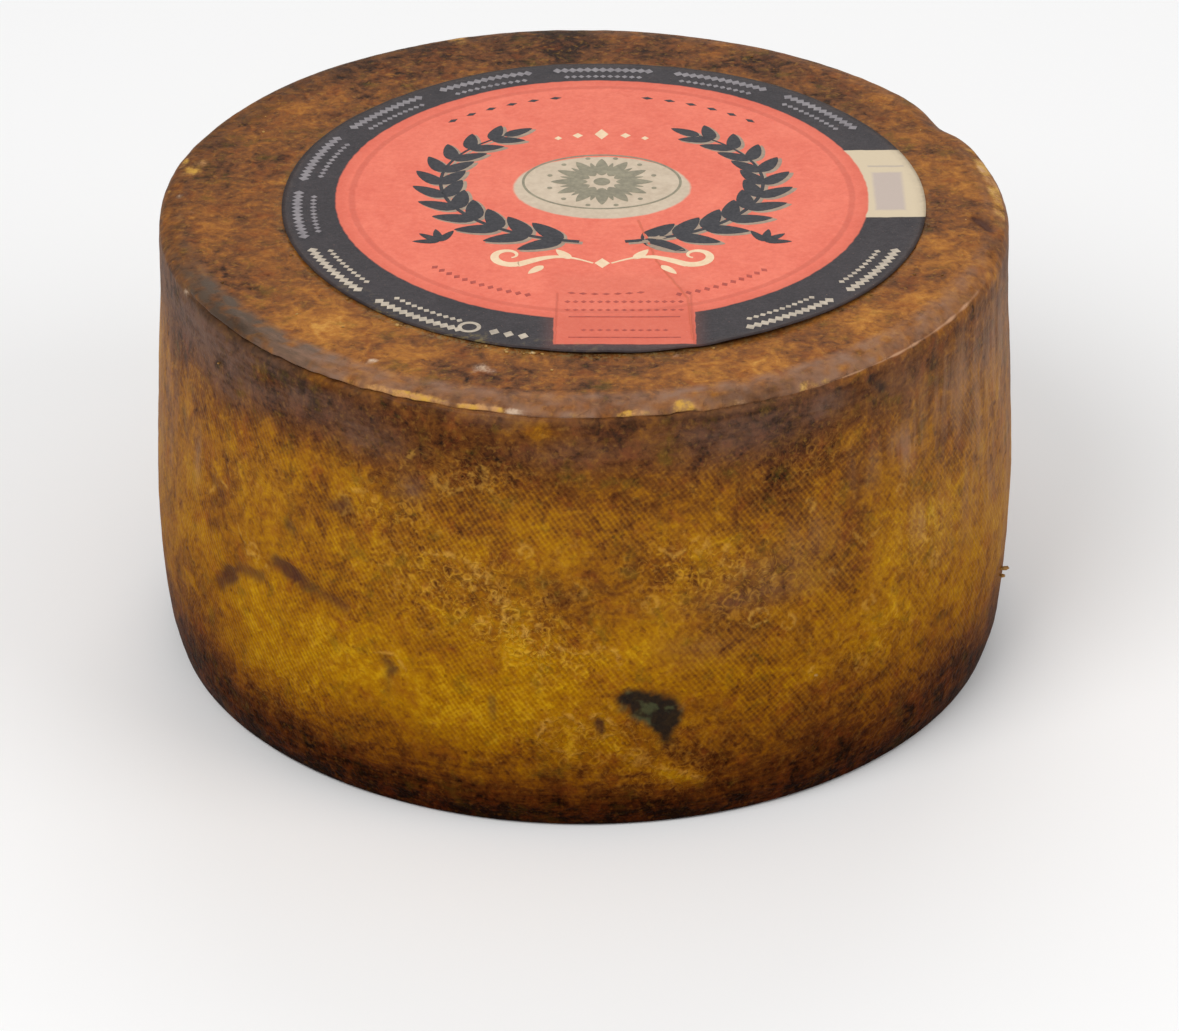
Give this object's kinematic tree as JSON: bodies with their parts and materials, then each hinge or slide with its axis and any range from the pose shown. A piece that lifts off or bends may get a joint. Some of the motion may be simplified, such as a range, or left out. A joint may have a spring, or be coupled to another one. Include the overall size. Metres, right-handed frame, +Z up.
{
  "type": "aged sheep cheese wheel",
  "caption": "Whole pressed wheel of aged sheep cheese: barrel wall, flat top with a bevelled rim and thin lip, dark oiled rind, and a round paper label on top.",
  "frame": {"origin": "centre of the wheel's footprint, on the plane it rests on", "axes": "+Z up along the wheel's axis to the labelled face, -Y towards the front of the label's print, +X to its right"},
  "size_m": [0.197, 0.197, 0.106],
  "materials": {
    "rind": "oiled cheese rind, mottled dark brown to ochre gold, with a fine cloth mark and a soft waxy sheen",
    "label_paper": "thin printed paper with a satin face, coral field in a dark slate ring"
  },
  "bodies": {
    "root": {"wheel": "rind", "label": "label_paper"}
  },
  "joints": []
}
